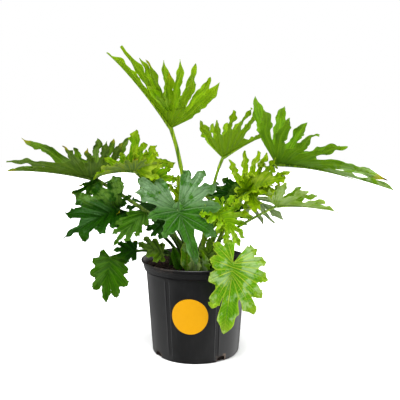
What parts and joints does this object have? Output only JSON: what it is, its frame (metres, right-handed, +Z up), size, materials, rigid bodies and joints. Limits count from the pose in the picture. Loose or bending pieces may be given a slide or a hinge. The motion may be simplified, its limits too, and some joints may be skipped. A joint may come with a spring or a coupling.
{
  "type": "potted lacy tree philodendron",
  "caption": "Potted foliage plant with deeply lobed, glossy green leaves on long arching stems, standing in a plain dark plastic nursery pot filled with soil.",
  "frame": {"origin": "middle of the pot's flat base, on the surface it stands on", "axes": "+Z up; -Y towards the front, where the round label is; +X to the right of someone facing the front"},
  "size_m": [0.935, 0.4515, 0.7666],
  "materials": {
    "pot_plastic": "satin charcoal blow-moulded plastic with faint wear",
    "label_paper": "coated amber paper, bare",
    "soil_mix": null,
    "leaf_bright": "waxy living leaf, bright green, paler underneath",
    "leaf_lime": "young waxy leaf, yellow green",
    "leaf_mid": "waxy living leaf, middle green, paler underneath",
    "leaf_dark": "mature waxy leaf, dark green",
    "leaf_glossy": "mature leaf with a strong grey-white gloss"
  },
  "bodies": {
    "root": {"pot": "pot_plastic", "label": "label_paper", "soil": "soil_mix", "leaf_crown": "leaf_bright", "leaf_left_high": "leaf_mid", "leaf_left_lime": "leaf_lime", "leaf_front_centre": "leaf_glossy", "leaf_left_drooping": "leaf_dark", "leaf_left_low": "leaf_dark", "leaf_left_dark": "leaf_dark", "leaf_left_small": "leaf_mid", "leaf_left_shaded": "leaf_dark", "leaf_rim": "leaf_mid", "leaf_right_high": "leaf_bright", "leaf_right_big": "leaf_mid", "leaf_right_lime": "leaf_lime", "leaf_right_low": "leaf_bright", "leaf_right_narrow": "leaf_dark", "leaf_behind_right": "leaf_dark", "leaf_young": "leaf_lime", "leaf_front_right": "leaf_bright", "leaf_centre": "leaf_lime", "leaf_low_centre": "leaf_mid", "leaf_back_left": "leaf_dark", "leaf_back_right": "leaf_dark", "leaf_back_middle": "leaf_dark"}
  },
  "joints": []
}
